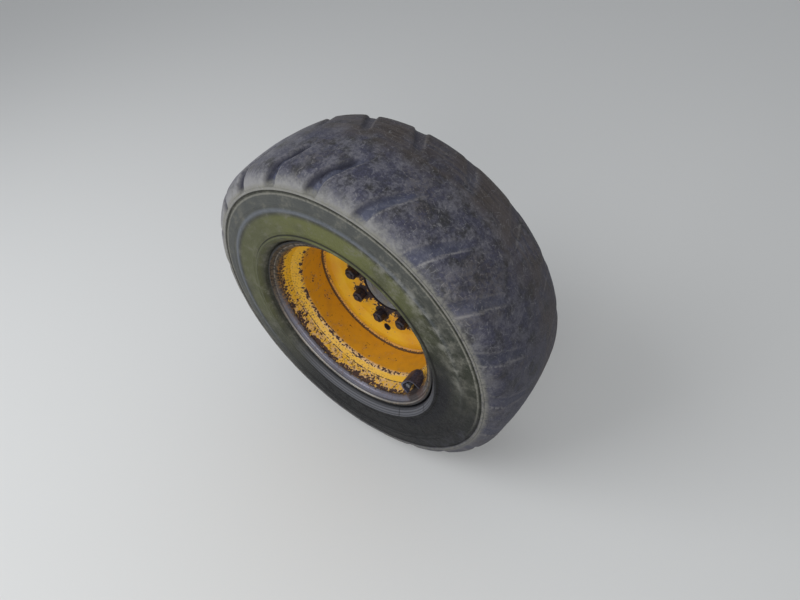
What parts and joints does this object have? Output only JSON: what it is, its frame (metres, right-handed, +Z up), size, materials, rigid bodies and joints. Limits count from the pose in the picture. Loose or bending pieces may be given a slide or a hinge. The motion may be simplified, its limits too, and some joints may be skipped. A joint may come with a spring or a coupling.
{
  "type": "skid steer loader wheel with axle end",
  "caption": "Pneumatic lugged tyre on a dished disc wheel, bolted to the flange of an axle shaft that turns in a flanged bearing housing.",
  "frame": {"origin": "centre of the housing's mounting face, on the axle's centre line", "axes": "+Y along the axle towards the machine, so the wheel's outer face looks towards -Y; +X the way the machine drives; +Z up"},
  "size_m": [0.7759, 0.3915, 0.776],
  "materials": {
    "tyre_rubber": "worn and dusty",
    "yellow_paint": "chipped gloss over rust",
    "weld_steel": "rusty weld",
    "dark_steel": "greasy and rusty",
    "valve_brass": "dusty",
    "black_plastic": "matte",
    "bare_steel": "machined, dull",
    "bearing_steel": "ground",
    "seal_rubber": "matte",
    "housing_iron": "cast, painted, dirty"
  },
  "bodies": {
    "housing": {"axle_housing": "housing_iron", "oil_seal": "seal_rubber", "outer_bearing_cup": "bearing_steel", "inner_bearing_cup": "bearing_steel"},
    "wheel": {"tyre": "tyre_rubber", "rim_barrel": "yellow_paint", "wheel_disc": "yellow_paint", "disc_weld": "weld_steel", "wheel_nuts": "dark_steel", "wheel_studs": "dark_steel", "valve_stem": "valve_brass", "valve_cap": "black_plastic", "valve_guard": "dark_steel", "axle_shaft": "bare_steel", "outer_bearing_cone": "bearing_steel", "outer_bearing_rollers": "bearing_steel", "inner_bearing_cone": "bearing_steel", "inner_bearing_rollers": "bearing_steel", "bearing_nut": "dark_steel"}
  },
  "joints": [
    {"name": "wheel_spin", "type": "hinge", "parent": "housing", "child": "wheel", "pos_m": [0, 0, 0], "axis": [0, 1, 0], "continuous": true}
  ]
}
